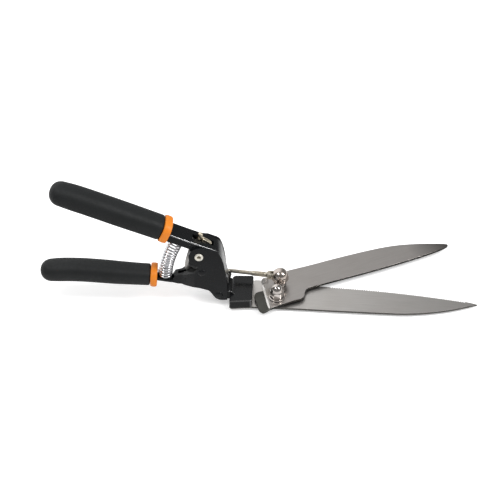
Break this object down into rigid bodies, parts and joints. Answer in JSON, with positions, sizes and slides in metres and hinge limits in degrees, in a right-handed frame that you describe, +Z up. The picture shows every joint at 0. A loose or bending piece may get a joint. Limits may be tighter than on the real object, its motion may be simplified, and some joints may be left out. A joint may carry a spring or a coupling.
{
  "type": "grass shears",
  "caption": "Hand-squeezed grass shears: sprung handles work two long flat blades through a link rod; open pose, locking lever on the upper handle.",
  "frame": {"origin": "on the blade pivot axis, at the flat underside of the pivot bolt head, 3.8 mm below the top face of the fixed blade (the cutting plane)", "axes": "+X forward along the tool to the blade tips, +Y across the tool away from the near side plate, +Z up along the blade pivot axis"},
  "size_m": [0.347, 0.0875, 0.1125],
  "materials": {
    "black_paint": "satin black paint on sheet steel",
    "grip": "soft textured dip",
    "collar": "satin orange",
    "zinc": "warm zinc plate",
    "blade_steel": "ground along the blade",
    "dark_blade_steel": "ground, darker than the fixed blade",
    "spring_steel": "bright plated wire",
    "chrome": "polished",
    "latch_zinc": "yellow zinc plate"
  },
  "bodies": {
    "frame": {"side_plate_near": "black_paint", "side_plate_far": "black_paint", "lower_handle": "black_paint", "lower_grip": "grip", "lower_collar": "collar", "main_pivot_rivet": "zinc", "frame_rivets": "black_paint", "catch_pin": "zinc", "blade_bracket": "black_paint", "tang_rivets": "zinc", "fixed_blade": "blade_steel", "pivot_bolt": "chrome", "bearing_washer": "blade_steel", "top_washer": "chrome", "pivot_cap_nut": "chrome", "handle_spring": "spring_steel", "lower_spring_peg": "black_paint"},
    "upper_handle_body": {"upper_handle": "black_paint", "upper_grip": "grip", "upper_collar": "collar", "pivot_bushing": "zinc", "upper_spring_peg": "black_paint", "latch_pin": "zinc"},
    "latch": {"latch_lever": "latch_zinc"},
    "moving_blade_body": {"moving_blade": "dark_blade_steel", "drive_stud": "chrome", "stud_spacer": "chrome"},
    "swivel": {"swivel_cap": "chrome", "swivel_pin": "chrome"},
    "rod": {"rod_sleeve": "zinc", "link_rod": "zinc", "rod_clip": "zinc"}
  },
  "joints": [
    {"name": "handle_pivot", "type": "hinge", "parent": "frame", "child": "upper_handle_body", "pos_m": [-0.0612, 0.0082, 0.0504], "axis": [0, -1, 0], "range_deg": [0, 20], "deforming": ["handle_spring"]},
    {"name": "blade_pivot", "type": "hinge", "parent": "frame", "child": "moving_blade_body", "pos_m": [0, 0, 0.0063], "axis": [0, 0, -1], "range_deg": [0, 31]},
    {"name": "swivel_turn", "type": "hinge", "parent": "moving_blade_body", "child": "swivel", "pos_m": [0.0029, 0.0162, 0.0133], "axis": [0, 0, 1], "range_deg": [0, 26.5]},
    {"name": "rod_pitch", "type": "hinge", "parent": "swivel", "child": "rod", "pos_m": [-0.0056, 0.0162, 0.0168], "axis": [0, 1, 0], "range_deg": [0, 16.5]},
    {"name": "latch_pivot", "type": "hinge", "parent": "upper_handle_body", "child": "latch", "pos_m": [-0.0665, 0.0082, 0.0593], "axis": [0, 1, 0], "range_deg": [0, 13]}
  ],
  "couplings": [
    {"joint": "blade_pivot", "follows": "handle_pivot", "ratio": 1.5337},
    {"joint": "swivel_turn", "follows": "handle_pivot", "ratio": 1.2977},
    {"joint": "rod_pitch", "follows": "handle_pivot", "ratio": 0.7925}
  ]
}
